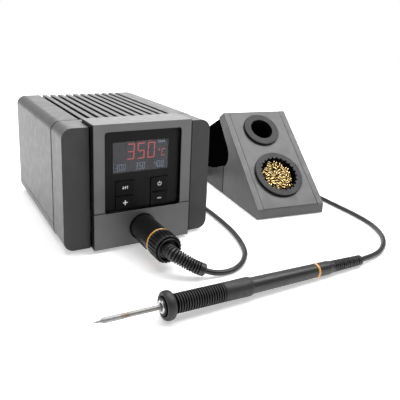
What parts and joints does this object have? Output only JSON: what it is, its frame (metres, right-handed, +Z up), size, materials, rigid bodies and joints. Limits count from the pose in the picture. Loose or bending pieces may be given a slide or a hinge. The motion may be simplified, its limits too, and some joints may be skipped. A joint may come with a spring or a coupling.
{
  "type": "soldering iron station",
  "caption": "Temperature-controlled soldering station with a display block, a plug-in iron on its cord, and a sloping iron stand with a brass-wool tip cleaner.",
  "frame": {"origin": "on the bench, under the middle of the box of the control unit, iron and stand (the cord and its plug left out)", "axes": "+Z up; -Y is the front of the control unit, where its display faces; +X is to the right of the display, towards the stand"},
  "size_m": [0.2961, 0.3227, 0.1013],
  "materials": {
    "shell_paint": "satin metallic grey",
    "bezel_plastic": "fine matt",
    "fascia_paint": "satin grey",
    "gloss_black": "high gloss",
    "display_glass": "clear",
    "display_lit": "lit display",
    "circuit_board": "solder mask",
    "bright_metal": "zinc plated",
    "heatsink_metal": "extruded",
    "capacitor_sleeve": "shrink sleeve",
    "core_steel": "laminated",
    "copper_winding": "taped winding",
    "black_plastic": "satin moulded",
    "lead_insulation": "smooth",
    "black_rubber": "matt",
    "orange_plastic": "satin",
    "cord_rubber": "smooth silicone",
    "tip_plating": "plated",
    "heater_steel": "polished, lightly heat tinted",
    "chrome_trim": "polished",
    "handle_plastic": "satin moulded",
    "cream_plastic": "moulded",
    "stand_paint": "satin grey",
    "ring_plastic": "satin moulded",
    "brass_curls": "bright turnings",
    "base_steel": "black"
  },
  "bodies": {
    "root": {"main_cover": "shell_paint", "base_tray": "shell_paint", "rear_panel": "bezel_plastic", "front_bezel": "bezel_plastic", "fascia_upper": "fascia_paint", "fascia_lower": "fascia_paint", "overlay_panel": "gloss_black", "display_lens": "display_glass", "lcd_module": "display_lit", "control_board": "circuit_board", "main_board": "circuit_board", "board_standoffs": "bright_metal", "heatsink": "heatsink_metal", "capacitors": "capacitor_sleeve", "transformer_core": "core_steel", "transformer_coil": "copper_winding", "transformer_bracket": "bright_metal", "power_inlet": "black_plastic", "iron_socket": "black_plastic", "socket_nut": "bright_metal", "socket_leads": "lead_insulation", "mains_leads": "lead_insulation", "station_feet": "black_rubber", "base_screws": "bright_metal", "rear_screws": "bright_metal", "plug_body": "black_plastic", "plug_insert": "bright_metal", "plug_ring": "orange_plastic", "plug_boot": "black_rubber", "cord_front": "cord_rubber", "cord_coil": "cord_rubber", "cord_rear": "cord_rubber"},
    "key_set": {"key_set": "gloss_black"},
    "key_power": {"key_power": "gloss_black"},
    "key_plus": {"key_plus": "gloss_black"},
    "key_minus": {"key_minus": "gloss_black"},
    "fuse_drawer": {"fuse_drawer": "black_plastic", "fuse": "bright_metal"},
    "latch": {"plug_latch": "black_plastic"},
    "clamping_nut": {"clamping_nut": "black_plastic"},
    "iron": {"front_bushing": "chrome_trim", "grip": "black_rubber", "handle_tube": "handle_plastic", "handle_ring": "orange_plastic", "end_cap": "handle_plastic", "iron_boot": "black_rubber", "contact_block": "cream_plastic"},
    "cartridge": {"tip": "tip_plating", "heater_tube": "heater_steel"},
    "stand": {"stand_shell": "stand_paint", "slope_plate": "stand_paint", "rear_shroud": "black_plastic", "stand_rear": "stand_paint", "holder_ring": "ring_plastic", "holder_tube": "black_plastic", "stand_base": "base_steel", "stand_feet": "black_rubber"},
    "cleaner": {"cleaner_ring": "ring_plastic", "cleaner_cup": "black_plastic", "brass_wool": "brass_curls"}
  },
  "joints": [
    {"name": "key_set_press", "type": "slide", "parent": "root", "child": "key_set", "axis": [0, 1, 0], "range_m": [0, 0.0008], "stiffness_N_per_m": 350},
    {"name": "key_power_press", "type": "slide", "parent": "root", "child": "key_power", "axis": [0, 1, 0], "range_m": [0, 0.0008], "stiffness_N_per_m": 350},
    {"name": "key_plus_press", "type": "slide", "parent": "root", "child": "key_plus", "axis": [0, 1, 0], "range_m": [0, 0.0008], "stiffness_N_per_m": 350},
    {"name": "key_minus_press", "type": "slide", "parent": "root", "child": "key_minus", "axis": [0, 1, 0], "range_m": [0, 0.0008], "stiffness_N_per_m": 350},
    {"name": "fuse_drawer_pull", "type": "slide", "parent": "root", "child": "fuse_drawer", "axis": [0, 1, 0], "range_m": [0, 0.022]},
    {"name": "latch_press", "type": "slide", "parent": "root", "child": "latch", "axis": [0.8192, 0, 0.5736], "range_m": [0, 0.0008], "stiffness_N_per_m": 400},
    {"name": "clamping_nut_turn", "type": "hinge", "parent": "root", "child": "clamping_nut", "pos_m": [-0.0658, -0.074, 0.0166], "axis": [0, -1, 0], "continuous": true},
    {"name": "iron_lift", "type": "slide", "parent": "root", "child": "iron", "axis": [0, 0, 1], "range_m": [0, 0.05]},
    {"name": "cartridge_pull", "type": "slide", "parent": "iron", "child": "cartridge", "axis": [-0.9995, -0.0087, 0.0288], "range_m": [0, 0.046]},
    {"name": "stand_lift", "type": "slide", "parent": "root", "child": "stand", "axis": [0, 0, 1], "range_m": [0, 0.05]},
    {"name": "cleaner_pull", "type": "slide", "parent": "stand", "child": "cleaner", "axis": [-0.086, -0.6623, 0.7443], "range_m": [0, 0.024]}
  ]
}
